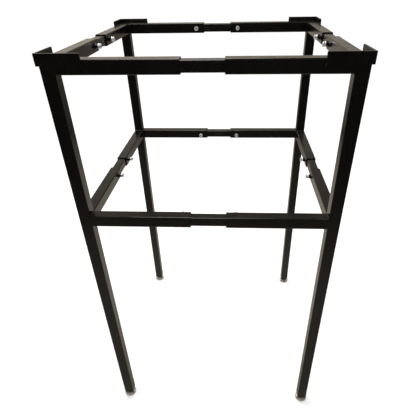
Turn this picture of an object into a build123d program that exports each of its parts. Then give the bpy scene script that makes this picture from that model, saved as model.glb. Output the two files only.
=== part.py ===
"""Adjustable welded steel equipment stand.

Four corner units, each a leg with two levels of square outer tube and an angle
bracket, are joined on every side by inner tubes that telescope into them and are
locked by clamp bolts.  Every leg stands on a screwed levelling glide.

Frame: +Z up, +X to the right along the width, +Y to the back along the depth.
Origin: on the floor, below the middle of the stand.  Units are millimetres.
"""

import os
from math import sqrt

from build123d import *

# Overall sizes, as set
WIDTH = 690.0
DEPTH = 674.0
TOP = 1220.0
MID_TOP = 829.0

# Square tubes
OUTER = 31.75
OUTER_WALL = 2.1
OUTER_ROUND = 3.0
INNER = 25.4
INNER_WALL = 1.65
INNER_ROUND = 2.5
ARM = 298.0
INNER_LENGTH = 500.0

# Angle brackets: flat bar, its upper part standing above the rails as a lip
BAR_HEIGHT = 25.4
BAR_THICKNESS = 4.76
BAR_LIP = 13.0
BAR_WIDTH_ARM = 98.0
BAR_DEPTH_ARM = 87.0
BAR_FOLD = 2.4
BAR_EDGE = 0.6

# Clamp bolts: M8 socket head cap screws in hexagon weld nuts
BOLT_SETBACK = 25.0
THREAD_RADIUS = 4.0
THREAD_CLEARANCE = 0.05
NUT_FLATS = 13.0
NUT_HEIGHT = 6.5
NUT_EDGE = 0.9
BOLT_GRIP = 8.5
BOLT_HEAD_RADIUS = 6.5
BOLT_HEAD_HEIGHT = 8.0
BOLT_HEAD_EDGE = 0.6
BOLT_TIP_EDGE = 0.8
BOLT_TIP_GAP = 0.1
SOCKET_FLATS = 6.0
SOCKET_DEPTH = 4.0
BOLT_HOLE_RADIUS = 4.5

# Levelling glides: a domed foot that swivels on the collar of a threaded stem
GLIDE_HEIGHT = 19.0
FOOT_RADIUS = 20.5
FOOT_SOLE_RADIUS = 19.1
FOOT_RIM_BOTTOM = 1.4
FOOT_RIM_TOP = 4.5
FOOT_NECK_RADIUS = 7.5
FOOT_TOP = 11.5
FOOT_DOME = 1.6
COLLAR_RADIUS = 6.0
COLLAR_BOTTOM = 3.1
COLLAR_TOP = 8.1
COLLAR_CLEARANCE = 0.1
STEM_HEX_BOTTOM = 12.0
STEM_HEX_HEIGHT = 5.0
STEM_TOP = 52.0
END_NUT_HEIGHT = 8.0

# Worked out from the sizes above
HALF_WIDTH = WIDTH / 2
HALF_DEPTH = DEPTH / 2
BORE_RADIUS = THREAD_RADIUS + THREAD_CLEARANCE
HEX_CORNER = 1 / sqrt(3)
BOLT_TIP = (OUTER - INNER) / 2 - BOLT_TIP_GAP

LEVELS = {"top": TOP - OUTER / 2, "mid": MID_TOP - OUTER / 2}
SIDES = {"left": -1, "right": 1}
ENDS = {"front": -1, "back": 1}


def save(part, name):
    """Label a finished piece and write it as a file of its own."""
    part.label = name
    export_step(part, f"parts/{name}.step")


# Planes -----------------------------------------------------------------------


def mitre_plane(end):
    """Plane at 45 degrees through the top outer edge, where a leg meets its depth rail."""
    return Plane(origin=(0, end * HALF_DEPTH, TOP), x_dir=(1, 0, 0), z_dir=(0, -end, 1))


def width_bolt_plane(side, end, height):
    """Plane on the inner face of a width rail at its bolt, facing into the stand."""
    place = (side * (HALF_WIDTH - ARM + BOLT_SETBACK), end * (HALF_DEPTH - OUTER), height)
    return Plane(origin=place, x_dir=(0, 0, 1), z_dir=(0, -end, 0))


def depth_bolt_plane(side, end, height):
    """Plane on the inner face of a depth rail at its bolt, facing into the stand."""
    place = (side * (HALF_WIDTH - OUTER), end * (HALF_DEPTH - ARM + BOLT_SETBACK), height)
    return Plane(origin=place, x_dir=(0, 0, 1), z_dir=(-side, 0, 0))


def profile_plane(base):
    """Plane that holds the axis of a turned piece: its Y is the axis, its X is the radius."""
    return Plane(origin=base.origin, x_dir=base.x_dir, z_dir=-base.y_dir)


# Tubes ------------------------------------------------------------------------


def tube_section(size, wall, corner):
    """Add a hollow square section to the open sketch."""
    RectangleRounded(size, size, corner)
    hollow = size - 2 * wall
    RectangleRounded(hollow, hollow, corner - wall, mode=Mode.SUBTRACT)


def drill_for_bolt(bolt_plane):
    """Cut the bolt's clearance hole through one wall of the open part."""
    with Locations(bolt_plane):
        Hole(radius=BOLT_HOLE_RADIUS, depth=OUTER / 2)


def leg(side, end):
    """Upright outer tube, mitred at the top."""
    foot = (side * (HALF_WIDTH - OUTER / 2), end * (HALF_DEPTH - OUTER / 2), GLIDE_HEIGHT)
    with BuildPart() as piece:
        with BuildSketch(Plane(origin=foot)):
            tube_section(OUTER, OUTER_WALL, OUTER_ROUND)
        extrude(amount=TOP - GLIDE_HEIGHT)
        split(bisect_by=mitre_plane(end), keep=Keep.BOTTOM)
    return piece.part


def top_depth_tube(side, end):
    """Top outer tube along the depth, mitred onto its leg."""
    start = (side * (HALF_WIDTH - OUTER / 2), end * HALF_DEPTH, LEVELS["top"])
    with BuildPart() as piece:
        with BuildSketch(Plane(origin=start, x_dir=(1, 0, 0), z_dir=(0, -end, 0))):
            tube_section(OUTER, OUTER_WALL, OUTER_ROUND)
        extrude(amount=ARM)
        split(bisect_by=mitre_plane(end), keep=Keep.TOP)
        drill_for_bolt(depth_bolt_plane(side, end, LEVELS["top"]))
    return piece.part


def mid_depth_tube(side, end):
    """Middle outer tube along the depth, butted onto its leg."""
    start = (side * (HALF_WIDTH - OUTER / 2), end * (HALF_DEPTH - OUTER), LEVELS["mid"])
    with BuildPart() as piece:
        with BuildSketch(Plane(origin=start, x_dir=(1, 0, 0), z_dir=(0, -end, 0))):
            tube_section(OUTER, OUTER_WALL, OUTER_ROUND)
        extrude(amount=ARM - OUTER)
        drill_for_bolt(depth_bolt_plane(side, end, LEVELS["mid"]))
    return piece.part


def width_tube(side, end, height):
    """Outer tube along the width, butted onto the inner side of the corner."""
    start = (side * (HALF_WIDTH - OUTER), end * (HALF_DEPTH - OUTER / 2), height)
    with BuildPart() as piece:
        with BuildSketch(Plane(origin=start, x_dir=(0, 1, 0), z_dir=(-side, 0, 0))):
            tube_section(OUTER, OUTER_WALL, OUTER_ROUND)
        extrude(amount=ARM - OUTER)
        drill_for_bolt(width_bolt_plane(side, end, height))
    return piece.part


def width_inner_tube(end, height):
    """Inner tube between the two outer tubes of a front or back rail."""
    start = (-INNER_LENGTH / 2, end * (HALF_DEPTH - OUTER / 2), height)
    with BuildPart() as piece:
        with BuildSketch(Plane(origin=start, x_dir=(0, 1, 0), z_dir=(1, 0, 0))):
            tube_section(INNER, INNER_WALL, INNER_ROUND)
        extrude(amount=INNER_LENGTH)
    return piece.part


def depth_inner_tube(side, height):
    """Inner tube between the two outer tubes of a left or right rail."""
    start = (side * (HALF_WIDTH - OUTER / 2), -INNER_LENGTH / 2, height)
    with BuildPart() as piece:
        with BuildSketch(Plane(origin=start, x_dir=(1, 0, 0), z_dir=(0, 1, 0))):
            tube_section(INNER, INNER_WALL, INNER_ROUND)
        extrude(amount=INNER_LENGTH)
    return piece.part


# Brackets ---------------------------------------------------------------------


def corner_bracket(side, end):
    """Flat bar folded to an L round the corner, standing above the rails as a lip."""
    far_x = side * (HALF_WIDTH + BAR_THICKNESS)
    far_y = end * (HALF_DEPTH + BAR_THICKNESS)
    end_x = far_x - side * BAR_WIDTH_ARM
    end_y = far_y - end * BAR_DEPTH_ARM
    near = (side * HALF_WIDTH, end * HALF_DEPTH)
    with BuildPart() as piece:
        with BuildSketch(Plane.XY.offset(TOP + BAR_LIP - BAR_HEIGHT)):
            with BuildLine():
                Polyline(
                    (end_x, far_y),
                    (far_x, far_y),
                    (far_x, end_y),
                    (near[0], end_y),
                    near,
                    (end_x, near[1]),
                    close=True,
                )
            make_face()
        extrude(amount=BAR_HEIGHT)
        uprights = piece.edges().filter_by(Axis.Z)
        fillet(uprights.sort_by_distance((far_x, far_y, TOP))[0], radius=BAR_FOLD)
        top_face = piece.faces().sort_by(Axis.Z)[-1]
        chamfer(top_face.outer_wire().edges(), length=BAR_EDGE)
    return piece.part


# Clamp bolts and weld nuts ----------------------------------------------------


def hexagon(flats):
    """Add a hexagon, given across its flats, to the open sketch."""
    RegularPolygon(radius=flats * HEX_CORNER, side_count=6)


def weld_nut(base):
    """Hexagon nut standing on a tube's face, its free rim turned down at the corners."""
    corner = NUT_FLATS * HEX_CORNER
    with BuildPart() as piece:
        with BuildSketch(base):
            hexagon(NUT_FLATS)
            Circle(BORE_RADIUS, mode=Mode.SUBTRACT)
        extrude(amount=NUT_HEIGHT)
        with BuildSketch(profile_plane(base)):
            Polygon(
                (0, 0),
                (corner, 0),
                (corner, NUT_HEIGHT - NUT_EDGE / 2),
                (corner - NUT_EDGE, NUT_HEIGHT),
                (0, NUT_HEIGHT),
                align=None,
            )
        revolve(axis=Axis(base.origin, base.z_dir), mode=Mode.INTERSECT)
    return piece.part


def end_nut(side, end):
    """Square nut welded into the foot of a leg for the glide's stem."""
    foot = (side * (HALF_WIDTH - OUTER / 2), end * (HALF_DEPTH - OUTER / 2), GLIDE_HEIGHT)
    hollow = OUTER - 2 * OUTER_WALL
    with BuildPart() as piece:
        with BuildSketch(Plane(origin=foot)):
            RectangleRounded(hollow, hollow, OUTER_ROUND - OUTER_WALL)
            Circle(BORE_RADIUS, mode=Mode.SUBTRACT)
        extrude(amount=END_NUT_HEIGHT)
    return piece.part


def weld_nuts(side, end):
    """All the nuts welded to one corner unit, as a group of separate solids."""
    nuts = [end_nut(side, end)]
    for height in LEVELS.values():
        nuts.append(weld_nut(width_bolt_plane(side, end, height)))
        nuts.append(weld_nut(depth_bolt_plane(side, end, height)))
    with BuildPart() as group:
        add(nuts)
    return group.part


def clamp_bolt(base):
    """Socket head cap screw through a weld nut, its tip against the inner tube."""
    axis = Axis(base.origin, base.z_dir)
    head_top = BOLT_GRIP + BOLT_HEAD_HEIGHT
    with BuildPart() as piece:
        with BuildSketch(profile_plane(base)):
            Polygon(
                (0, -BOLT_TIP),
                (THREAD_RADIUS - BOLT_TIP_EDGE, -BOLT_TIP),
                (THREAD_RADIUS, -BOLT_TIP + BOLT_TIP_EDGE),
                (THREAD_RADIUS, BOLT_GRIP),
                (BOLT_HEAD_RADIUS, BOLT_GRIP),
                (BOLT_HEAD_RADIUS, head_top - BOLT_HEAD_EDGE),
                (BOLT_HEAD_RADIUS - BOLT_HEAD_EDGE, head_top),
                (0, head_top),
                align=None,
            )
        revolve(axis=axis)
        with BuildSketch(base.offset(head_top)):
            hexagon(SOCKET_FLATS)
        extrude(amount=-SOCKET_DEPTH, mode=Mode.SUBTRACT)
    return piece.part


# Levelling glides -------------------------------------------------------------


def glide_plane(side, end):
    """Plane on the floor, centred under a leg."""
    return Plane(origin=(side * (HALF_WIDTH - OUTER / 2), end * (HALF_DEPTH - OUTER / 2), 0))


def glide_foot(base):
    """Domed foot, hollowed for the collar that it swivels on."""
    chamber = COLLAR_RADIUS + COLLAR_CLEARANCE
    floor = COLLAR_BOTTOM - COLLAR_CLEARANCE
    roof = COLLAR_TOP + COLLAR_CLEARANCE
    with BuildPart() as piece:
        with BuildSketch(profile_plane(base)):
            with BuildLine():
                Polyline((0, floor), (0, 0), (FOOT_SOLE_RADIUS, 0))
                TangentArc((FOOT_SOLE_RADIUS, 0), (FOOT_RADIUS, FOOT_RIM_BOTTOM), tangent=(1, 0))
                Line((FOOT_RADIUS, FOOT_RIM_BOTTOM), (FOOT_RADIUS, FOOT_RIM_TOP))
                SagittaArc((FOOT_RADIUS, FOOT_RIM_TOP), (FOOT_NECK_RADIUS, FOOT_TOP), -FOOT_DOME)
                Polyline(
                    (FOOT_NECK_RADIUS, FOOT_TOP),
                    (BORE_RADIUS, FOOT_TOP),
                    (BORE_RADIUS, roof),
                    (chamber, roof),
                    (chamber, floor),
                    (0, floor),
                )
            make_face()
        revolve(axis=Axis(base.origin, base.z_dir))
    return piece.part


def glide_stem(base):
    """Threaded stem with a hexagon for a spanner and the collar held in the foot."""
    axis = Axis(base.origin, base.z_dir)
    with BuildPart() as piece:
        with BuildSketch(profile_plane(base)):
            Polygon(
                (0, COLLAR_BOTTOM),
                (COLLAR_RADIUS, COLLAR_BOTTOM),
                (COLLAR_RADIUS, COLLAR_TOP),
                (THREAD_RADIUS, COLLAR_TOP),
                (THREAD_RADIUS, STEM_TOP - BOLT_TIP_EDGE),
                (THREAD_RADIUS - BOLT_TIP_EDGE, STEM_TOP),
                (0, STEM_TOP),
                align=None,
            )
        revolve(axis=axis)
        with BuildSketch(base.offset(STEM_HEX_BOTTOM)):
            hexagon(NUT_FLATS)
        extrude(amount=STEM_HEX_HEIGHT)
    return piece.part


# The stand --------------------------------------------------------------------

os.makedirs("parts", exist_ok=True)

for side_name, side in SIDES.items():
    for end_name, end in ENDS.items():
        corner = f"{end_name}_{side_name}"
        save(leg(side, end), f"{corner}_leg")
        save(corner_bracket(side, end), f"{corner}_corner_bracket")
        save(top_depth_tube(side, end), f"{corner}_top_depth_tube")
        save(mid_depth_tube(side, end), f"{corner}_mid_depth_tube")
        save(weld_nuts(side, end), f"{corner}_weld_nuts")
        save(glide_foot(glide_plane(side, end)), f"{corner}_glide_foot")
        save(glide_stem(glide_plane(side, end)), f"{corner}_glide_stem")
        for level, height in LEVELS.items():
            save(width_tube(side, end, height), f"{corner}_{level}_width_tube")
            width_bolt = clamp_bolt(width_bolt_plane(side, end, height))
            save(width_bolt, f"{corner}_{level}_width_clamp_bolt")
            depth_bolt = clamp_bolt(depth_bolt_plane(side, end, height))
            save(depth_bolt, f"{corner}_{level}_depth_clamp_bolt")

for level, height in LEVELS.items():
    for end_name, end in ENDS.items():
        save(width_inner_tube(end, height), f"{end_name}_{level}_inner_tube")
    for side_name, side in SIDES.items():
        save(depth_inner_tube(side, height), f"{side_name}_{level}_inner_tube")
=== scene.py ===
"""Finishes for the adjustable equipment stand: coatings, screws, glides, welds and a plain stage."""

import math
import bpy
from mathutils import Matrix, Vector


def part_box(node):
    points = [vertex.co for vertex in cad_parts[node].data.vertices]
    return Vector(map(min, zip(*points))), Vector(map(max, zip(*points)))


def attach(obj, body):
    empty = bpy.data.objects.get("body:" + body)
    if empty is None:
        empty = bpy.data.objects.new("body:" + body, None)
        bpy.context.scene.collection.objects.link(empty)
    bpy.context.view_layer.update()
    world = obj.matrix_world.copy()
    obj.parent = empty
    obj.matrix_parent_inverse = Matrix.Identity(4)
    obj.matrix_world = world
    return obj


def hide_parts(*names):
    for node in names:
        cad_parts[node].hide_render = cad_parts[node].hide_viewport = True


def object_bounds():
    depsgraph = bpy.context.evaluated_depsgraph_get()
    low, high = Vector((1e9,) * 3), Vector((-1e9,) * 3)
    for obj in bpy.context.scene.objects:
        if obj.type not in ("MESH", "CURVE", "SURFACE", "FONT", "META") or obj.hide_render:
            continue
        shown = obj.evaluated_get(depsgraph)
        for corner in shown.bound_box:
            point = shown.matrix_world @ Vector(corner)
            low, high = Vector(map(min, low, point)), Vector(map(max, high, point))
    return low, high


bl_info = {
    "name": "Adjustable Equipment Stand",
    "version": (1, 0, 0),
    "blender": (4, 5, 0),
    "location": "View3D > Sidebar > Stand",
    "description": "Coats, screws, welds and stages a telescoping steel equipment stand",
    "category": "Object",
}

import bmesh
import bpy
from bpy.props import FloatProperty, FloatVectorProperty, IntProperty, PointerProperty
from mathutils import Matrix, Vector

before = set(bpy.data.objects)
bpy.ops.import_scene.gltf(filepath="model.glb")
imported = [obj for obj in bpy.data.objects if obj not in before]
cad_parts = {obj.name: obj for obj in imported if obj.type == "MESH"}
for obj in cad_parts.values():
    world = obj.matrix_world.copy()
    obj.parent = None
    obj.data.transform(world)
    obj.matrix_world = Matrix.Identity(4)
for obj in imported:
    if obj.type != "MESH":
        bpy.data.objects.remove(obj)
CAD_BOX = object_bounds()

MM = 0.001
SIDES = {"left": -1, "right": 1}
ENDS = {"front": -1, "back": 1}
LEVELS = ("top", "mid")
RUNS = ("width", "depth")
CORNERS = {f"{end}_{side}": (SIDES[side], ENDS[end]) for side in SIDES for end in ENDS}
UP = Vector((0, 0, 1))
HEX_CORNER = 1 / math.sqrt(3)  # a hexagon's corner radius for each unit across its flats
THREAD_DEPTH = 0.6134  # a metric thread's depth, in pitches
JOIN_WITHIN = 0.002 * MM


# Sizes and colours ------------------------------------------------------------


def length(name, description, default):
    """A length in metres whose default is given in millimetres."""
    return FloatProperty(
        name=name, description=description, default=default * MM, unit="LENGTH", precision=5
    )


def colour(name, description, default):
    """A colour property."""
    return FloatVectorProperty(
        name=name, description=description, default=default, subtype="COLOR", min=0, max=1
    )


def share(name, description, default):
    """A number from 0 to 1."""
    return FloatProperty(
        name=name, description=description, default=default, min=0, max=1, subtype="FACTOR"
    )


def angle(name, description, default):
    """An angle whose default is given in degrees."""
    return FloatProperty(
        name=name, description=description, default=math.radians(default), subtype="ANGLE"
    )


class StandFinish(bpy.types.PropertyGroup):
    """Coatings and platings."""

    coat: colour("Coat", "Black of the powder coat", (0.0011, 0.00105, 0.001))
    # Lighter edge colour: coat thinned on edges, and on the tacks a painted highlight.
    coat_worn_and_highlight: colour("Worn coat", "Powder coat thinned on the edges", (0.020, 0.019, 0.018))
    coat_roughness: share("Coat roughness", "Gloss of the powder coat", 0.20)
    peel: length("Orange peel", "Width of the coat's ripples", 2.6)
    dust: colour("Dust", "Dust settled on what faces up", (0.16, 0.145, 0.12))
    rubbed: colour("Rubbed coat", "Coat rubbed along the inner tubes", (0.03, 0.029, 0.028))
    zinc: colour("Zinc", "Bright zinc plate", (0.80, 0.81, 0.83))
    nickel: colour("Nickel", "Nickel plate of the feet", (0.86, 0.83, 0.77))
    # Dark colour for recesses on plated parts: painted shade in sockets, knurl grooves and where parts
    # meet, with some dirt.
    grime_and_shade: colour("Grime", "Grime held in recesses", (0.03, 0.026, 0.02))


class StandScrews(bpy.types.PropertyGroup):
    """Clamp screws, glide stems and their threads."""

    head_height: length("Head height", "Height of a screw's head", 8)
    knurl_bottom: length("Knurl bottom", "Start of the knurl above the head's seat", 0.6)
    knurl_top: length("Knurl top", "End of the knurl above the head's seat", 6.2)
    knurl_depth: length("Knurl depth", "Depth of a knurl groove", 0.35)
    knurl_teeth: IntProperty(
        name="Knurl teeth", description="Teeth round a head", default=36, min=12
    )
    socket_flats: length("Socket", "Width across the flats of the socket", 6)
    socket_depth: length("Socket depth", "Depth of the socket", 4)
    pitch: length("Pitch", "Thread pitch", 1.25)
    thread_radius: length("Thread radius", "Outer radius of the thread", 4)
    spanner_flats: length("Spanner flats", "Width across the flats of a stem's hexagon", 13)
    spanner_height: length("Spanner height", "Height of a stem's hexagon", 5)
    spanner_bottom: length("Spanner bottom", "Height of a stem's hexagon above the floor", 12)
    collar_radius: length("Collar radius", "Radius of a stem's collar", 6)
    collar_top: length("Collar top", "Top of a stem's collar above the floor", 8.1)


class StandGlides(bpy.types.PropertyGroup):
    """Domed feet."""

    sole_radius: length("Sole radius", "Radius of the flat sole", 19.1)
    rim_top: length("Rim top", "Height of the rim", 4.5)
    neck_radius: length("Neck radius", "Radius of the dome's top", 7.5)
    dome_rise: length("Dome rise", "How far the dome bulges over a straight cone", 1.6)


class StandWelds(bpy.types.PropertyGroup):
    """Weld beads and tacks."""

    bead_width: length("Bead width", "Width of a fillet bead", 6.6)
    bead_height: length("Bead height", "Height of a fillet bead over its corner", 3.1)
    flush_width: length("Ground bead width", "Width of a bead ground flush", 5.5)
    flush_height: length("Ground bead height", "What is left of a bead ground flush", 0.22)
    tack_length: length("Tack length", "Length of a bracket's tack", 8)
    nut_bead_length: length("Nut bead length", "Length of a bead beside a nut", 7.4)
    ripple: length("Ripple", "Spacing of the ripples along a bead", 1.9)


class StandStage(bpy.types.PropertyGroup):
    """Floor, lights and camera."""

    floor: colour("Floor", "Pale floor", (0.93, 0.93, 0.93))
    room: colour("Room", "Warm room that the coat reflects", (0.50, 0.44, 0.36))
    overhead: FloatProperty(
        name="Overhead", description="Power of the overhead light", default=34, unit="POWER"
    )
    lens: FloatProperty(name="Lens", description="Focal length in millimetres", default=31.684)
    camera_height: length("Camera height", "Height of the camera above the floor", 1366)
    camera_back: length("Camera distance", "How far in front of the stand's axis", 1139)
    camera_right: length("Camera right", "How far right of the stand's axis", 72.3)
    tilt: angle("Tilt", "Angle below the horizon", 33.204)
    turn: angle("Turn", "Angle to the left", 2.976)
    roll: angle("Roll", "Angle about the line of view", -0.98)


# Modelling --------------------------------------------------------------------


def clear_selection():
    """Leave edit mode and deselect everything."""
    if bpy.context.object and bpy.context.object.mode != "OBJECT":
        bpy.ops.object.mode_set(mode="OBJECT")
    bpy.ops.object.select_all(action="DESELECT")


def edit(piece):
    """Start editing one piece, all of it selected."""
    clear_selection()
    piece.select_set(True)
    bpy.context.view_layer.objects.active = piece
    bpy.ops.object.mode_set(mode="EDIT")
    bpy.ops.mesh.select_all(action="SELECT")


def finish_edit():
    """Close the seams of the piece being edited, turn its faces outwards and leave edit mode."""
    bpy.ops.mesh.select_all(action="SELECT")
    bpy.ops.mesh.remove_doubles(threshold=JOIN_WITHIN)
    bpy.ops.mesh.normals_make_consistent(inside=False)
    bpy.ops.object.mode_set(mode="OBJECT")


def pick(kind, wanted):
    """Select only the vertices, edges or faces being edited that pass a test."""
    bpy.ops.mesh.select_mode(type=kind)
    bpy.ops.mesh.select_all(action="DESELECT")
    shape = bmesh.from_edit_mesh(bpy.context.object.data)
    elements = {"VERT": shape.verts, "EDGE": shape.edges, "FACE": shape.faces}[kind]
    for element in [element for element in elements if wanted(element)]:
        element.select_set(True)
    shape.select_flush_mode()
    bmesh.update_edit_mesh(bpy.context.object.data)


def draw_profile(name, points):
    """Draw an open line of (radius, height) points by extruding one vertex, and stay in edit mode."""
    clear_selection()
    bpy.ops.mesh.primitive_plane_add(size=MM)
    piece = bpy.context.object
    piece.name = name
    bpy.ops.object.mode_set(mode="EDIT")
    bpy.ops.mesh.select_all(action="SELECT")
    bpy.ops.mesh.merge(type="CENTER")
    here = Vector((points[0][0], 0, points[0][1]))
    bpy.ops.transform.translate(value=here)
    for radius, height in points[1:]:
        there = Vector((radius, 0, height))
        bpy.ops.mesh.extrude_region_move(TRANSFORM_OT_translate={"value": there - here})
        here = there
    return piece


def turn_piece(name, points, steps):
    """Turn a profile about Z into a closed round piece."""
    piece = draw_profile(name, points)
    bpy.ops.mesh.select_all(action="SELECT")
    bpy.ops.mesh.spin(steps=steps, angle=math.tau, center=(0, 0, 0), axis=UP)
    finish_edit()
    return piece


def thread_piece(name, radius, pitch, bottom, top, steps=24):
    """Closed length of thread about Z: one turn's profile screwed upwards and cut flat at both ends."""
    root = radius - THREAD_DEPTH * pitch
    profile = []
    turns = math.ceil((top - bottom) / pitch) + 2
    for turn in range(turns):
        start = bottom + (turn - 1) * pitch
        profile += [
            (radius, start),
            (radius, start + pitch / 8),
            (root, start + pitch * 7 / 16),
            (root, start + pitch * 11 / 16),
        ]
    profile.append((radius, bottom + (turns - 1) * pitch))
    piece = draw_profile(name, profile)
    bpy.ops.object.mode_set(mode="OBJECT")
    screw = piece.modifiers.new("Screw", "SCREW")
    screw.screw_offset = pitch
    screw.steps = screw.render_steps = steps
    screw.use_merge_vertices = True
    screw.merge_threshold = JOIN_WITHIN
    bpy.ops.object.modifier_apply(modifier=screw.name)
    edit(piece)
    cut = {"plane_no": UP, "use_fill": True, "threshold": 0.0001 * MM}
    bpy.ops.mesh.bisect(plane_co=(0, 0, bottom), clear_inner=True, **cut)
    bpy.ops.mesh.select_all(action="SELECT")
    bpy.ops.mesh.bisect(plane_co=(0, 0, top), clear_outer=True, **cut)
    finish_edit()
    return piece


def carve(piece, tool, operation="DIFFERENCE"):
    """Cut a piece with a closed tool, or join it to one, and remove the tool."""
    clear_selection()
    bpy.context.view_layer.objects.active = piece
    cut = piece.modifiers.new("Cut", "BOOLEAN")
    cut.operation = operation
    cut.solver = "EXACT"
    cut.object = tool
    bpy.ops.object.modifier_apply(modifier=cut.name)
    bpy.data.objects.remove(tool)


def prism(name, flats, bottom, top):
    """Hexagonal prism about Z, given across its flats."""
    clear_selection()
    bpy.ops.mesh.primitive_cylinder_add(
        vertices=6, radius=flats * HEX_CORNER, depth=top - bottom, location=(0, 0, (bottom + top) / 2)
    )
    bpy.ops.object.transform_apply(location=True)
    bpy.context.object.name = name
    return bpy.context.object


def smooth(piece, angle=35):
    """Smooth shading that keeps the sharp edges."""
    clear_selection()
    piece.select_set(True)
    bpy.context.view_layer.objects.active = piece
    bpy.ops.object.shade_smooth_by_angle(angle=math.radians(angle))


def note_turning(piece):
    """Store each point's distance from the axis and height, for marks that follow the turning."""
    turned = piece.data.attributes.new("turned", "FLOAT_VECTOR", "POINT")
    for vertex, value in zip(piece.data.vertices, turned.data):
        value.vector = (math.hypot(vertex.co.x, vertex.co.y), vertex.co.z, 0)


def place_copy(pattern, name, matrix):
    """Copy a pattern with its own mesh, its place in the mesh."""
    piece = pattern.copy()
    piece.data = pattern.data.copy()
    piece.name = piece.data.name = name
    piece.data.transform(matrix)
    bpy.context.scene.collection.objects.link(piece)
    return piece


def stand_under(node):
    """Matrix that moves a pattern made about Z to a node's axis."""
    low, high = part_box(node)
    return Matrix.Translation(((low.x + high.x) / 2, (low.y + high.y) / 2, 0))


def join_pieces(name, pieces):
    """Join pieces into one."""
    clear_selection()
    for piece in pieces:
        piece.select_set(True)
    bpy.context.view_layer.objects.active = pieces[0]
    bpy.ops.object.join()
    pieces[0].name = pieces[0].data.name = name
    return pieces[0]


def stand_on(origin, upward, along=None):
    """Matrix that puts the origin at a place, Z pointing upward and X along a direction."""
    z = Vector(upward).normalized()
    x = Vector(along) if along is not None else z.orthogonal()
    x = (x - z * x.dot(z)).normalized()
    turned = Matrix((x, z.cross(x), z)).transposed()
    return Matrix.Translation(Vector(origin)) @ turned.to_4x4()


# Shader groups ----------------------------------------------------------------


def shade(colour, amount):
    """A colour made darker or lighter."""
    return [part * amount for part in colour]


def add_node(tree, kind, **settings):
    """Add a node and set its own settings."""
    made = tree.nodes.new(kind)
    for name, value in settings.items():
        setattr(made, name, value)
    return made


def feed(tree, made, **inputs):
    """Give a node's inputs a value or another node's output, by their names with _ for a space."""
    for name, value in inputs.items():
        socket = made.inputs[name.replace("_", " ")]
        if isinstance(value, bpy.types.NodeSocket):
            tree.links.new(value, socket)
        else:
            socket.default_value = value
    return made


def calculate(tree, operation, *values):
    """Math node."""
    made = add_node(tree, "ShaderNodeMath", operation=operation)
    for socket, value in zip(made.inputs, values):
        if isinstance(value, bpy.types.NodeSocket):
            tree.links.new(value, socket)
        else:
            socket.default_value = value
    return made.outputs["Value"]


def spread(tree, value, low, high, to_low=0.0, to_high=1.0):
    """Map Range node."""
    made = feed(
        tree, add_node(tree, "ShaderNodeMapRange"), Value=value,
        From_Min=low, From_Max=high, To_Min=to_low, To_Max=to_high,
    )
    return made.outputs["Result"]


def read_graph(tree, value, points):
    """Read a result from straight lines between (value, result) points."""
    low, high = points[0][0], points[-1][0]
    ramp = add_node(tree, "ShaderNodeValToRGB")
    stops = ramp.color_ramp.elements
    for at, _ in points[1:-1]:
        stops.new((at - low) / (high - low))
    for stop, (_, result) in zip(stops, points):
        stop.color = (result, result, result, 1)
    tree.links.new(spread(tree, value, low, high), ramp.inputs["Fac"])
    return ramp.outputs["Color"]


def noise(tree, vector, scale, detail=2.0):
    """Noise texture's value."""
    made = feed(
        tree, add_node(tree, "ShaderNodeTexNoise"), Vector=vector, Scale=scale, Detail=detail
    )
    return made.outputs["Fac"]


def mix_colours(tree, amount, first, second):
    """Mix two colours."""
    made = add_node(tree, "ShaderNodeMix", data_type="RGBA")
    for index, value in ((0, amount), (6, first), (7, second)):
        if isinstance(value, bpy.types.NodeSocket):
            tree.links.new(value, made.inputs[index])
        else:
            made.inputs[index].default_value = value if index == 0 else (*value, 1)
    return made.outputs[2]


def stretch(tree, vector, scale):
    """Vector scaled by a different amount along each axis."""
    made = feed(tree, add_node(tree, "ShaderNodeMapping"), Vector=vector, Scale=scale)
    return made.outputs["Vector"]


def start_group(name, inputs, output):
    """New shader group with named inputs and one output; gives it with its inner sockets."""
    tree = bpy.data.node_groups.new(name, "ShaderNodeTree")
    for label, kind in inputs.items():
        tree.interface.new_socket(label, in_out="INPUT", socket_type=kind)
    tree.interface.new_socket(output, in_out="OUTPUT", socket_type="NodeSocketFloat")
    given = tree.nodes.new("NodeGroupInput").outputs
    result = tree.nodes.new("NodeGroupOutput").inputs[output]
    return tree, given, result


def build_orange_peel():
    """Height of the coat's soft ripples with a finer grain on them."""
    tree, given, result = start_group(
        "orange_peel", {"Vector": "NodeSocketVector", "Scale": "NodeSocketFloat"}, "Height"
    )
    ripples = noise(tree, given["Vector"], given["Scale"], detail=1.0)
    fine = noise(tree, given["Vector"], calculate(tree, "MULTIPLY", given["Scale"], 3.7), detail=2.0)
    tree.links.new(calculate(tree, "MULTIPLY_ADD", fine, 0.35, ripples), result)


def build_edge_wear_and_highlight():
    """Mask of the edges that stand out, broken up by noise."""
    tree, given, result = start_group(
        "edge_wear_and_highlight", {"Vector": "NodeSocketVector", "Reach": "NodeSocketFloat"}, "Mask"
    )
    rounded = feed(tree, add_node(tree, "ShaderNodeBevel", samples=6), Radius=given["Reach"])
    flat = add_node(tree, "ShaderNodeNewGeometry")
    turned = add_node(tree, "ShaderNodeVectorMath", operation="DOT_PRODUCT")
    tree.links.new(rounded.outputs["Normal"], turned.inputs[0])
    tree.links.new(flat.outputs["Normal"], turned.inputs[1])
    edges = spread(tree, turned.outputs["Value"], 0.995, 0.90)
    patches = spread(tree, noise(tree, given["Vector"], 90.0, detail=4.0), 0.42, 0.62)
    tree.links.new(calculate(tree, "MULTIPLY", edges, patches), result)


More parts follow.
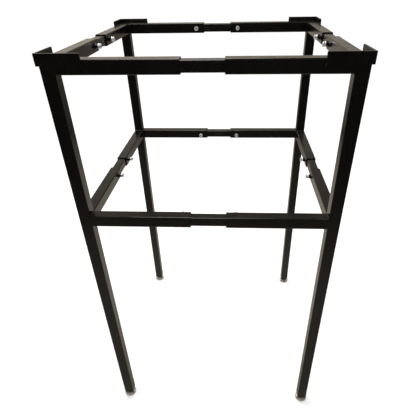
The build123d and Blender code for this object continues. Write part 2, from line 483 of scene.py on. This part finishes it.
def build_settled_dust():
    """Mask of dust on what faces up, in soft patches with specks."""
    tree, given, result = start_group("settled_dust", {"Vector": "NodeSocketVector"}, "Mask")
    facing = add_node(tree, "ShaderNodeSeparateXYZ")
    tree.links.new(add_node(tree, "ShaderNodeNewGeometry").outputs["Normal"], facing.inputs[0])
    upward = spread(tree, facing.outputs["Z"], 0.6, 1.0)
    patches = spread(tree, noise(tree, given["Vector"], 22.0, detail=3.0), 0.35, 0.7, 0.25, 1.0)
    specks = spread(tree, noise(tree, given["Vector"], 1500.0, detail=1.0), 0.60, 0.72, 0.35, 1.0)
    broken = calculate(tree, "MULTIPLY", patches, specks)
    tree.links.new(calculate(tree, "MULTIPLY", upward, broken), result)


def build_scratches():
    """Mask of fine scratches along the first axis of the vector it is given."""
    tree, given, result = start_group(
        "fine_scratches", {"Vector": "NodeSocketVector", "Amount": "NodeSocketFloat"}, "Mask"
    )
    lines = noise(tree, stretch(tree, given["Vector"], (14, 1400, 1400)), 1.0, detail=2.0)
    patches = spread(tree, noise(tree, given["Vector"], 18.0, detail=2.0), 0.4, 0.6)
    sharp = spread(tree, lines, 0.60, 0.70)
    marked = calculate(tree, "MULTIPLY", sharp, patches)
    tree.links.new(calculate(tree, "MULTIPLY", marked, given["Amount"]), result)


def build_turning_marks():
    """Height of the fine rings that a lathe leaves."""
    tree, given, result = start_group("turning_marks", {"Vector": "NodeSocketVector"}, "Height")
    rings = noise(tree, stretch(tree, given["Vector"], (2600, 2600, 1)), 1.0, detail=2.0)
    tree.links.new(rings, result)


def place_group(tree, name, **inputs):
    """Put a shared group into a material and give its only output."""
    made = add_node(tree, "ShaderNodeGroup", node_tree=bpy.data.node_groups[name])
    return feed(tree, made, **inputs).outputs[0]


# Materials --------------------------------------------------------------------


def start_material(name):
    """New material with its shader, and the object's own coordinates."""
    material = bpy.data.materials.new(name)
    material.use_nodes = True
    tree = material.node_tree
    tree.nodes.clear()
    shader = add_node(tree, "ShaderNodeBsdfPrincipled")
    surface = add_node(tree, "ShaderNodeOutputMaterial")
    tree.links.new(shader.outputs["BSDF"], surface.inputs["Surface"])
    place = add_node(tree, "ShaderNodeTexCoord").outputs["Object"]
    return material, tree, shader, place


def raise_surface(tree, shader, height, distance, strength=1.0):
    """Bump the shader's normal."""
    bump = feed(
        tree, add_node(tree, "ShaderNodeBump"), Height=height, Distance=distance, Strength=strength
    )
    tree.links.new(bump.outputs["Normal"], shader.inputs["Normal"])


def powder_coat(name, finish, wear_and_highlight=0.15, dust=0.12, rub_axes=None, peel_depth=0.05):
    """Satin black powder coat: orange peel, lighter edges (thinned coat, and at full strength a painted
    highlight), dust and, on sliding tubes, rub marks.

    rub_axes names the object's axes in the order along, across and up the tube.
    """
    material, tree, shader, place = start_material(name)
    feed(tree, shader, Specular_IOR_Level=0.5)
    edges = place_group(tree, "edge_wear_and_highlight", Vector=place, Reach=0.9 * MM)
    # Edges lightened by the edge mask times the amount; at full amount, on the tacks, this is a painted
    # highlight.
    worn_and_highlit = calculate(tree, "MULTIPLY", edges, wear_and_highlight)
    dusty = calculate(tree, "MULTIPLY", place_group(tree, "settled_dust", Vector=place), dust)
    tone = spread(tree, noise(tree, place, 9.0, detail=3.0), 0.3, 0.7)
    surface = mix_colours(tree, tone, shade(finish.coat, 0.75), shade(finish.coat, 1.25))
    surface = mix_colours(tree, worn_and_highlit, surface, finish.coat_worn_and_highlight)
    roughness = spread(
        tree, noise(tree, place, 40.0, detail=4.0), 0.3, 0.7,
        finish.coat_roughness - 0.03, finish.coat_roughness + 0.05,
    )
    if rub_axes:
        along = add_node(tree, "ShaderNodeCombineXYZ")
        parts = add_node(tree, "ShaderNodeSeparateXYZ")
        tree.links.new(place, parts.inputs[0])
        for index, axis in enumerate(rub_axes):
            tree.links.new(parts.outputs[axis], along.inputs[index])
        rubbed = place_group(tree, "fine_scratches", Vector=along.outputs[0], Amount=0.8)
        surface = mix_colours(tree, rubbed, surface, finish.rubbed)
        roughness = calculate(tree, "MULTIPLY_ADD", rubbed, 0.12, roughness)
    surface = mix_colours(tree, dusty, surface, finish.dust)
    roughness = calculate(tree, "MULTIPLY_ADD", dusty, 0.5, roughness)
    feed(tree, shader, Base_Color=surface, Roughness=roughness)
    peel = place_group(tree, "orange_peel", Vector=place, Scale=1 / finish.peel)
    raise_surface(tree, shader, peel, peel_depth * MM)
    return material


def plated(name, metal, grime_and_shade, roughness, metallic, marks=0.004):
    """Bright plated steel: lathe marks, uneven gloss, and painted shade with some dirt darkening its
    recesses and where it meets other parts.
    """
    material, tree, shader, place = start_material(name)
    turned = add_node(tree, "ShaderNodeAttribute", attribute_name="turned")
    sheltered = feed(tree, add_node(tree, "ShaderNodeAmbientOcclusion", samples=8), Distance=3 * MM)
    # Ambient occlusion mixes recesses towards the dark recess colour: painted shade, with some dirt,
    # and rougher there.
    held = spread(tree, sheltered.outputs["AO"], 0.9, 0.5)
    patches = noise(tree, place, 260.0, detail=4.0)
    dull = spread(tree, patches, 0.35, 0.7, 0.0, 0.35)
    surface = mix_colours(tree, dull, metal, shade(metal, 0.72))
    surface = mix_colours(tree, calculate(tree, "MULTIPLY", held, 0.9), surface, grime_and_shade)
    uneven = spread(tree, patches, 0.3, 0.7, roughness - 0.05, roughness + 0.1)
    feed(
        tree, shader, Base_Color=surface, Metallic=metallic,
        Roughness=calculate(tree, "MULTIPLY_ADD", held, 0.3, uneven),
    )
    rings = place_group(tree, "turning_marks", Vector=turned.outputs["Vector"])
    raise_surface(tree, shader, rings, marks * MM)
    return material


def finish_piece(piece, material_name, body, replaced=()):
    """Give a made piece its material and body, and hide the CAD node it stands for."""
    piece.data.materials.clear()
    piece.data.materials.append(bpy.data.materials[material_name])
    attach(piece, body)
    if replaced:
        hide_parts(*replaced)


# Operators --------------------------------------------------------------------


class STAND_OT_mix_finishes(bpy.types.Operator):
    """Build the shared shader groups and every material"""

    bl_idname = "stand.mix_finishes"
    bl_label = "Mix Finishes"

    def execute(self, context):
        finish = context.scene.stand_finish
        build_orange_peel()
        build_edge_wear_and_highlight()
        build_settled_dust()
        build_scratches()
        build_turning_marks()
        powder_coat("coated_outer_tube", finish)
        powder_coat("coated_inner_tube_across", finish, rub_axes="XYZ")
        powder_coat("coated_inner_tube_deep", finish, rub_axes="YXZ")
        powder_coat("coated_bar", finish, wear_and_highlight=0.2)
        powder_coat("coated_nuts", finish, wear_and_highlight=0.3, peel_depth=0.07)
        powder_coat("coated_welds", finish, wear_and_highlight=0.2, peel_depth=0.08)
        # Tacks get full edge lightening: a painted highlight for light caught by their rounded beads.
        powder_coat("coated_tacks_painted_highlight", finish, wear_and_highlight=1.0, dust=0.3, peel_depth=0.1)
        plated("zinc_screws", finish.zinc, finish.grime_and_shade, 0.22, 0.7)
        plated("zinc_stems", finish.zinc, finish.grime_and_shade, 0.34, 0.7)
        plated("nickel_feet", finish.nickel, finish.grime_and_shade, 0.13, 0.85)
        return {"FINISHED"}


class STAND_OT_coat_frame(bpy.types.Operator):
    """Coat the tubes, brackets and nuts"""

    bl_idname = "stand.coat_frame"
    bl_label = "Coat Frame"

    coats = {
        "_corner_bracket": "coated_bar",
        "_weld_nuts": "coated_nuts",
        "_leg": "coated_outer_tube",
        "_width_tube": "coated_outer_tube",
        "_depth_tube": "coated_outer_tube",
    }

    def coat(self, node):
        """The coat of a CAD node, or none for a node that a made piece replaces."""
        if node.endswith("_inner_tube"):
            across = node.startswith(tuple(ENDS))
            return "coated_inner_tube_across" if across else "coated_inner_tube_deep"
        return next((coat for ending, coat in self.coats.items() if node.endswith(ending)), None)

    def execute(self, context):
        for node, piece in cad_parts.items():
            coat = self.coat(node)
            if coat:
                piece.data.materials.clear()
                piece.data.materials.append(bpy.data.materials[coat])
        return {"FINISHED"}


class STAND_OT_clamp_screws(bpy.types.Operator):
    """Model one socket head screw and put it in every clamp nut"""

    bl_idname = "stand.clamp_screws"
    bl_label = "Clamp Screws"

    def head(self, screws, radius, seat):
        """Turned head with its knurl pressed in and its socket cut."""
        top = seat + screws.head_height
        low = seat + screws.knurl_bottom
        high = seat + screws.knurl_top
        edge = 0.5 * MM
        rim = [
            (0, seat),
            (radius - edge, seat),
            (radius, seat + edge / 2),
            (radius, low),
            (radius, high),
            (radius, top - 2 * edge),
            (radius - edge / 3, top - edge),
            (radius - 2 * edge, top),
            (radius - 3 * edge, top),
            (0, top),
        ]
        teeth = screws.knurl_teeth
        piece = turn_piece("screw_head", rim, 2 * teeth)
        edit(piece)
        step = math.pi / teeth
        slack = edge / 9

        def in_groove(vertex):
            at_knurl = low - slack < vertex.co.z < high + slack
            return at_knurl and round(math.atan2(vertex.co.y, vertex.co.x) / step) % 2 == 1

        pick("VERT", in_groove)
        narrowed = 1 - screws.knurl_depth / radius
        bpy.ops.transform.resize(value=(narrowed, narrowed, 1), center_override=(0, 0, 0))
        finish_edit()
        socket_bottom = top - screws.socket_depth
        carve(piece, prism("socket_tool", screws.socket_flats, socket_bottom, top + edge))
        across = screws.socket_flats * HEX_CORNER
        sunk = 1.2 * edge
        mouth = [
            (0, top - sunk),
            (across - sunk, top - sunk),
            (across + edge, top + edge),
            (0, top + edge),
        ]
        carve(piece, turn_piece("mouth_tool", mouth, 48))
        drilled = screws.socket_flats * 0.46
        drill_point = 0.45 * drilled
        hole = [
            (0, socket_bottom - drill_point),
            (drilled, socket_bottom),
            (drilled, socket_bottom + edge),
            (0, socket_bottom + edge),
        ]
        carve(piece, turn_piece("drill_tool", hole, 48))
        return piece

    def execute(self, context):
        screws = context.scene.stand_screws
        low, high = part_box("front_left_top_width_clamp_bolt")
        size = high - low
        seat = size.y - screws.head_height
        pattern = self.head(screws, size.z / 2, seat)
        thread = thread_piece("screw_thread", screws.thread_radius, screws.pitch, 0, seat + 0.4 * MM)
        carve(pattern, thread, "UNION")
        smooth(pattern, 30)
        note_turning(pattern)
        for corner, (side, end) in CORNERS.items():
            for level in LEVELS:
                for run in RUNS:
                    node = f"{corner}_{level}_{run}_clamp_bolt"
                    low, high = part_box(node)
                    inward = Vector((0, -end, 0)) if run == "width" else Vector((-side, 0, 0))
                    middle = (low + high) / 2
                    tip = middle - inward * size.y / 2
                    name = f"{corner}_{level}_{run}_cap_screw"
                    screw = place_copy(pattern, name, stand_on(tip, inward, UP))
                    finish_piece(screw, "zinc_screws", node, [node])
        bpy.data.objects.remove(pattern)
        return {"FINISHED"}


class STAND_OT_glide_stems(bpy.types.Operator):
    """Model one threaded glide stem and put it in every leg"""

    bl_idname = "stand.glide_stems"
    bl_label = "Glide Stems"

    def execute(self, context):
        screws = context.scene.stand_screws
        low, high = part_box("front_left_glide_stem")
        hex_top = screws.spanner_bottom + screws.spanner_height
        shank = [
            (0, low.z),
            (screws.collar_radius, low.z),
            (screws.collar_radius, screws.collar_top),
            (screws.thread_radius, screws.collar_top),
            (screws.thread_radius, hex_top - MM),
            (0, hex_top - MM),
        ]
        pattern = turn_piece("stem_shank", shank, 48)
        spanner = prism("stem_hexagon", screws.spanner_flats, screws.spanner_bottom, hex_top)
        turned_down = 0.8 * MM
        wider = screws.spanner_flats * HEX_CORNER + 0.05 * MM
        barrel = [
            (0, screws.spanner_bottom - turned_down / 2),
            (wider - 2 * turned_down, screws.spanner_bottom - turned_down / 2),
            (wider, screws.spanner_bottom + turned_down / 2),
            (wider, hex_top - turned_down / 2),
            (wider - 2 * turned_down, hex_top + turned_down / 2),
            (0, hex_top + turned_down / 2),
        ]
        carve(spanner, turn_piece("barrel_tool", barrel, 60), "INTERSECT")
        carve(pattern, spanner, "UNION")
        thread = thread_piece(
            "stem_thread", screws.thread_radius, screws.pitch, hex_top - 0.5 * MM, high.z
        )
        carve(pattern, thread, "UNION")
        smooth(pattern, 30)
        note_turning(pattern)
        for corner in CORNERS:
            node = f"{corner}_glide_stem"
            stem = place_copy(pattern, f"{corner}_threaded_stem", stand_under(node))
            finish_piece(stem, "zinc_stems", node, [node])
        bpy.data.objects.remove(pattern)
        return {"FINISHED"}


class STAND_OT_glide_feet(bpy.types.Operator):
    """Turn one domed foot and put it under every leg"""

    bl_idname = "stand.glide_feet"
    bl_label = "Glide Feet"

    dome_steps = 12

    def execute(self, context):
        glides = context.scene.stand_glides
        screws = context.scene.stand_screws
        low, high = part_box("front_left_glide_foot")
        radius = (high.x - low.x) / 2
        clear = 0.1 * MM
        stem_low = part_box("front_left_glide_stem")[0].z
        bore = screws.thread_radius + clear / 2
        chamber = screws.collar_radius + clear
        fold = 0.35 * MM
        rim_start = Vector((radius, glides.rim_top))
        neck = Vector((glides.neck_radius, high.z))
        chord = neck - rim_start
        outward = Vector((chord.y, -chord.x)).normalized()
        dome = []
        for step in range(1, self.dome_steps):
            along = step / self.dome_steps
            bulge = 4 * along * (1 - along) * glides.dome_rise
            dome.append(tuple(rim_start + chord * along + outward * bulge))
        profile = [
            (0, 0),
            (glides.sole_radius - fold, 0),
            (glides.sole_radius, 0.1 * MM),
            (radius - 0.4 * MM, 0.55 * MM),
            (radius - 0.1 * MM, 1.0 * MM),
            (radius, 1.5 * MM),
            (radius, glides.rim_top - 2 * fold),
            (radius - 0.12 * MM, glides.rim_top - fold),
            *[point for point in dome if point[0] < radius - 0.1 * MM],
            (glides.neck_radius + fold, high.z - fold / 2),
            (glides.neck_radius - fold, high.z),
            (bore + fold, high.z),
            (bore, high.z - fold),
            (bore, screws.collar_top + clear),
            (chamber, screws.collar_top + clear),
            (chamber, stem_low - clear),
            (0, stem_low - clear),
        ]
        pattern = turn_piece("foot_pattern", profile, 72)
        smooth(pattern, 40)
        note_turning(pattern)
        for corner in CORNERS:
            node = f"{corner}_glide_foot"
            foot = place_copy(pattern, f"{corner}_domed_foot", stand_under(node))
            finish_piece(foot, "nickel_feet", node, [node])
        bpy.data.objects.remove(pattern)
        return {"FINISHED"}


def bead_pattern(name, long, wide, tall, ripple, seed):
    """Weld bead along X, its crown up: a rippled bar with crescent ridges and tapered ends."""
    straight = long - 0.4 * wide
    rings = 2 * max(3, round(long / ripple))
    spacing = straight / rings
    valley = (1, 0.88, 0.76)
    tapers = ((0, 0.45), (1, 0.85))

    def ring(vertex):
        return round((vertex.co.x + straight / 2) / spacing)

    def resize(*amounts):
        bpy.ops.transform.resize(value=amounts, center_override=(0, 0, 0))

    clear_selection()
    bpy.ops.mesh.primitive_cylinder_add(
        vertices=10, radius=0.5, depth=1, rotation=(0, math.radians(90), 0)
    )
    bpy.ops.object.transform_apply(rotation=True)
    piece = bpy.context.object
    piece.name = name
    edit(piece)
    resize(straight, wide, 2 * tall)
    pick("EDGE", lambda edge: abs(edge.verts[0].co.x - edge.verts[1].co.x) > straight / 2)
    bpy.ops.mesh.subdivide(number_cuts=rings - 1)
    pick("VERT", lambda vertex: ring(vertex) % 2 == 0)
    resize(*valley)
    pick("VERT", lambda vertex: vertex.co.z > 0.55 * tall)
    bpy.ops.transform.translate(value=(0.3 * ripple, 0, 0))
    pick("VERT", lambda vertex: vertex.co.z < -0.05 * tall)
    resize(1, 1, 0.4)
    for index, narrowed in tapers:
        pick("VERT", lambda vertex: ring(vertex) in (index, rings - index))
        resize(1, narrowed, narrowed)
    bpy.ops.mesh.select_all(action="SELECT")
    bpy.ops.transform.vertex_random(offset=0.05 * tall, seed=seed)
    finish_edit()
    rounding = piece.modifiers.new("Rounding", "SUBSURF")
    rounding.levels = rounding.render_levels = 1
    bpy.ops.object.modifier_apply(modifier=rounding.name)
    smooth(piece, 180)
    return piece


def leg_faces(corner):
    """Where a leg's outer and inner faces are, as two (x, y) vectors."""
    side, end = CORNERS[corner]
    low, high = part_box(f"{corner}_leg")
    outer = Vector((high.x if side > 0 else low.x, high.y if end > 0 else low.y))
    inner = Vector((low.x if side > 0 else high.x, low.y if end > 0 else high.y))
    return outer, inner


class STAND_OT_tube_welds(bpy.types.Operator):
    """Lay the weld beads where the tubes of a corner meet"""

    bl_idname = "stand.tube_welds"
    bl_label = "Tube Welds"

    def execute(self, context):
        welds = context.scene.stand_welds
        leg_low, leg_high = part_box("front_left_leg")
        tube = leg_high.x - leg_low.x
        fillet = bead_pattern(
            "fillet_bead", tube - 3 * MM, welds.bead_width, welds.bead_height, welds.ripple, 3
        )
        ground = bead_pattern(
            "ground_bead", tube - 1 * MM, welds.flush_width, welds.flush_height, welds.ripple, 4
        )
        sink = 0.9 * MM
        for corner, (side, end) in CORNERS.items():
            outer, inner = leg_faces(corner)
            middle = (outer + inner) / 2
            mid_low, mid_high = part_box(f"{corner}_mid_width_tube")
            top_low, top_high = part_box(f"{corner}_top_width_tube")
            inward = Vector((-side, -end, 0))
            mitre = Vector((0, end, 1))
            beads = []

            def lay(pattern, place, crown, along):
                crown = Vector(crown).normalized()
                start = Vector(place) - crown * sink * (pattern is fillet)
                beads.append(place_copy(pattern, "bead", stand_on(start, crown, along)))

            for height, way in ((mid_high.z, 1), (mid_low.z, -1), (top_low.z, -1)):
                lay(fillet, (inner.x, middle.y, height), (-side, 0, way), (0, 1, 0))
                lay(fillet, (middle.x, inner.y, height), (0, -end, way), (1, 0, 0))
            for below, above in ((mid_low, mid_high), (top_low, top_high)):
                centre = (below.z + above.z) / 2
                lay(fillet, (*inner, centre), inward, UP)
                lay(ground, (inner.x, outer.y, centre), (0, end, 0), UP)
            lay(ground, (outer.x, inner.y, (mid_low.z + mid_high.z) / 2), (side, 0, 0), UP)
            for face, facing in ((outer.x, side), (inner.x, -side)):
                lay(ground, (face, middle.y, (top_low.z + top_high.z) / 2), (facing, 0, 0), mitre)
            welded = join_pieces(f"{corner}_tube_welds", beads)
            finish_piece(welded, "coated_welds", f"{corner}_corner")
        bpy.data.objects.remove(fillet)
        bpy.data.objects.remove(ground)
        return {"FINISHED"}


class STAND_OT_bracket_welds(bpy.types.Operator):
    """Put the tacks that hold each bracket under its lower edge"""

    bl_idname = "stand.bracket_welds"
    bl_label = "Bracket Welds"

    def execute(self, context):
        welds = context.scene.stand_welds
        tack = bead_pattern(
            "tack", welds.tack_length, 1.1 * welds.bead_width, 1.35 * welds.bead_height,
            1.2 * welds.ripple, 5,
        )
        for corner, (side, end) in CORNERS.items():
            low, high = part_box(f"{corner}_corner_bracket")
            outer, inner = leg_faces(corner)
            tube = abs(outer.x - inner.x)
            seam = tube if side > 0 else 0.65 * tube
            tacks = []
            for distance in (seam, high.x - low.x - 5 * MM):
                place = (outer.x - side * distance, outer.y, low.z)
                matrix = stand_on(place, (0, end, -1), (1, 0, 0))
                tacks.append(place_copy(tack, "tack_copy", matrix))
            for distance in (0.8 * tube, high.y - low.y - 8 * MM):
                place = (outer.x, outer.y - end * distance, low.z)
                matrix = stand_on(place, (side, 0, -1), (0, 1, 0))
                tacks.append(place_copy(tack, "tack_copy", matrix))
            welded = join_pieces(f"{corner}_bracket_welds", tacks)
            finish_piece(welded, "coated_tacks_painted_highlight", f"{corner}_corner")
        bpy.data.objects.remove(tack)
        return {"FINISHED"}


class STAND_OT_nut_welds(bpy.types.Operator):
    """Lay two beads beside every clamp nut"""

    bl_idname = "stand.nut_welds"
    bl_label = "Nut Welds"

    def execute(self, context):
        welds = context.scene.stand_welds
        screws = context.scene.stand_screws
        bead = bead_pattern(
            "nut_bead", welds.nut_bead_length, 0.8 * welds.bead_width, 0.8 * welds.bead_height,
            welds.ripple, 6,
        )
        for corner, (side, end) in CORNERS.items():
            _, inner = leg_faces(corner)
            beads = []
            for level in LEVELS:
                for run in RUNS:
                    low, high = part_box(f"{corner}_{level}_{run}_clamp_bolt")
                    centre = (low + high) / 2
                    if run == "width":
                        centre.y = inner.y
                        inward, along = Vector((0, -end, 0)), Vector((1, 0, 0))
                    else:
                        centre.x = inner.x
                        inward, along = Vector((-side, 0, 0)), Vector((0, 1, 0))
                    for way in (1, -1):
                        place = centre + along * way * screws.spanner_flats / 2
                        matrix = stand_on(place, inward + along * way, UP)
                        beads.append(place_copy(bead, "nut_bead_copy", matrix))
            welded = join_pieces(f"{corner}_nut_welds", beads)
            finish_piece(welded, "coated_welds", f"{corner}_corner")
        bpy.data.objects.remove(bead)
        return {"FINISHED"}


class STAND_OT_stage(bpy.types.Operator):
    """Add the floor, soft lights and camera"""

    bl_idname = "stand.stage"
    bl_label = "Stage"

    # Light on the floor in reflections, as (place, light) points
    pool_along_y = (
        (-2.4, 0.06), (-1.6, 0.2), (-0.9, 0.52), (-0.4, 0.42), (0.1, 1.0), (1.3, 1.0), (2.4, 0.25),
    )
    pool_along_x = ((-2.4, 0.3), (-1.0, 1.0), (1.0, 1.0), (2.4, 0.3))

    # Soft lights: name, place, size, power and tint
    fills = (
        ("left_fill", (-2.6, 2.0, 2.2), 1.6, 9, (1.0, 0.95, 0.88)),
        ("right_fill", (2.8, 1.2, 1.8), 1.4, 4, (1.0, 0.95, 0.88)),
    )

    def floor(self, stage):
        """Pale floor to the horizon; reflections show a pool of light that fades with distance."""
        clear_selection()
        bpy.ops.mesh.primitive_plane_add(size=160, location=(0, 0, -0.2 * MM))
        floor = bpy.context.object
        floor.name = "floor"
        material, tree, shader, place = start_material("pale_floor")
        cloudy = spread(tree, noise(tree, place, 1.3, detail=3.0), 0.3, 0.7)
        pale = mix_colours(tree, cloudy, shade(stage.floor, 0.985), stage.floor)
        feed(tree, shader, Base_Color=pale, Roughness=0.9, Specular_IOR_Level=0.0)
        parts = add_node(tree, "ShaderNodeSeparateXYZ")
        tree.links.new(place, parts.inputs[0])
        along_y = read_graph(tree, parts.outputs["Y"], self.pool_along_y)
        along_x = read_graph(tree, parts.outputs["X"], self.pool_along_x)
        near = calculate(tree, "MULTIPLY", along_y, along_x)
        behind = spread(tree, parts.outputs["Y"], 1.6, 4.8, 0.0, 0.8)
        left = spread(tree, parts.outputs["X"], 1.5, -1.5, 0.4, 1.0)
        far = calculate(tree, "MULTIPLY", behind, left)
        lit = calculate(tree, "MAXIMUM", near, far)
        pool = mix_colours(tree, lit, shade(stage.room, 0.04), shade(stage.room, 1.3))
        reflected = feed(tree, add_node(tree, "ShaderNodeEmission"), Color=pool)
        self.show_in_reflections(tree, shader.outputs[0], reflected.outputs[0])
        floor.data.materials.append(material)

    def show_in_reflections(self, tree, seen, reflected):
        """Use one shader for what is seen and another for what glossy surfaces reflect."""
        glossy = add_node(tree, "ShaderNodeLightPath").outputs["Is Glossy Ray"]
        either = feed(tree, add_node(tree, "ShaderNodeMixShader"), Fac=glossy)
        tree.links.new(seen, either.inputs[1])
        tree.links.new(reflected, either.inputs[2])
        output = next(node for node in tree.nodes if node.type.startswith("OUTPUT"))
        tree.links.new(either.outputs[0], output.inputs["Surface"])

    def world(self, stage):
        """White surroundings, and a warm room for reflections that is bright low down at both ends."""
        world = bpy.data.worlds.new("studio")
        world.use_nodes = True
        bpy.context.scene.world = world
        tree = world.node_tree
        tree.nodes.clear()
        add_node(tree, "ShaderNodeOutputWorld")
        direction = add_node(tree, "ShaderNodeSeparateXYZ")
        tree.links.new(add_node(tree, "ShaderNodeTexCoord").outputs["Generated"], direction.inputs[0])
        low = spread(tree, direction.outputs["Z"], 0.5, 0.1, 0.3, 1.0)
        behind = spread(tree, direction.outputs["Y"], -0.2, 0.6)
        before = spread(tree, direction.outputs["Y"], -0.2, -0.7, 0.0, 0.4)
        left = spread(tree, direction.outputs["X"], 0.5, -0.5, 0.4, 1.0)
        ends = calculate(tree, "MAXIMUM", behind, before)
        glow = calculate(tree, "MULTIPLY", calculate(tree, "MULTIPLY", low, ends), left)
        warm = mix_colours(tree, glow, shade(stage.room, 0.08), shade(stage.room, 1.8))
        white = add_node(tree, "ShaderNodeBackground")
        feed(tree, white, Color=(1, 1, 1, 1), Strength=1.15)
        room = feed(tree, add_node(tree, "ShaderNodeBackground"), Color=warm, Strength=1.0)
        self.show_in_reflections(tree, white.outputs[0], room.outputs[0])

    def light(self, name, place, size, watts, tint):
        """One soft square light that shines at the middle of the stand."""
        low, high = CAD_BOX
        data = bpy.data.lights.new(name, "AREA")
        data.shape = "SQUARE"
        data.size = size
        data.energy = watts
        data.color = tint
        lamp = bpy.data.objects.new(name, data)
        lamp.location = place
        aim = (low + high) / 2 - Vector(place)
        lamp.rotation_euler = aim.to_track_quat("-Z", "Y").to_euler()
        bpy.context.scene.collection.objects.link(lamp)

    def camera(self, stage):
        """Standing height, looking down at the stand."""
        data = bpy.data.cameras.new("camera")
        data.sensor_width = 36
        data.lens = stage.lens
        data.shift_x, data.shift_y = -0.0226, 0.0113
        data.clip_end = 500
        camera = bpy.data.objects.new("camera", data)
        turn = Matrix.Rotation(stage.turn, 4, "Z")
        tilt = Matrix.Rotation(math.radians(90) - stage.tilt, 4, "X")
        roll = Matrix.Rotation(stage.roll, 4, "Z")
        place = Vector((stage.camera_right, -stage.camera_back, stage.camera_height))
        camera.matrix_world = Matrix.Translation(place) @ turn @ tilt @ roll
        bpy.context.scene.collection.objects.link(camera)
        bpy.context.scene.camera = camera

    def execute(self, context):
        stage = context.scene.stand_stage
        self.floor(stage)
        self.world(stage)
        self.light("overhead", (-0.3, 0.3, 3.0), 1.1, stage.overhead, (1.0, 0.97, 0.92))
        for fill in self.fills:
            self.light(*fill)
        self.camera(stage)
        context.scene.view_settings.view_transform = "Standard"
        return {"FINISHED"}


class STAND_PT_steps(bpy.types.Panel):
    """Steps that finish the stand, in order"""

    bl_idname = "STAND_PT_steps"
    bl_label = "Equipment Stand"
    bl_space_type = "VIEW_3D"
    bl_region_type = "UI"
    bl_category = "Stand"

    def draw(self, context):
        for step in STEPS:
            self.layout.operator(step.bl_idname)
        for group in GROUPS:
            box = self.layout.box()
            for name in GROUPS[group].__annotations__:
                box.prop(getattr(context.scene, group), name)


STEPS = (
    STAND_OT_mix_finishes,
    STAND_OT_coat_frame,
    STAND_OT_clamp_screws,
    STAND_OT_glide_stems,
    STAND_OT_glide_feet,
    STAND_OT_tube_welds,
    STAND_OT_bracket_welds,
    STAND_OT_nut_welds,
    STAND_OT_stage,
)
GROUPS = {
    "stand_finish": StandFinish,
    "stand_screws": StandScrews,
    "stand_glides": StandGlides,
    "stand_welds": StandWelds,
    "stand_stage": StandStage,
}


def register():
    """Register the settings, operators and panel."""
    for made in (*GROUPS.values(), *STEPS, STAND_PT_steps):
        bpy.utils.register_class(made)
    for name, group in GROUPS.items():
        setattr(bpy.types.Scene, name, PointerProperty(type=group))


def unregister():
    """Remove the settings, operators and panel."""
    for name in GROUPS:
        delattr(bpy.types.Scene, name)
    for made in (STAND_PT_steps, *reversed(STEPS), *reversed(GROUPS.values())):
        bpy.utils.unregister_class(made)


def main():
    """Finish and stage the stand."""
    register()
    for step in STEPS:
        group, action = step.bl_idname.split(".")
        getattr(getattr(bpy.ops, group), action)()


if __name__ == "__main__":
    main()
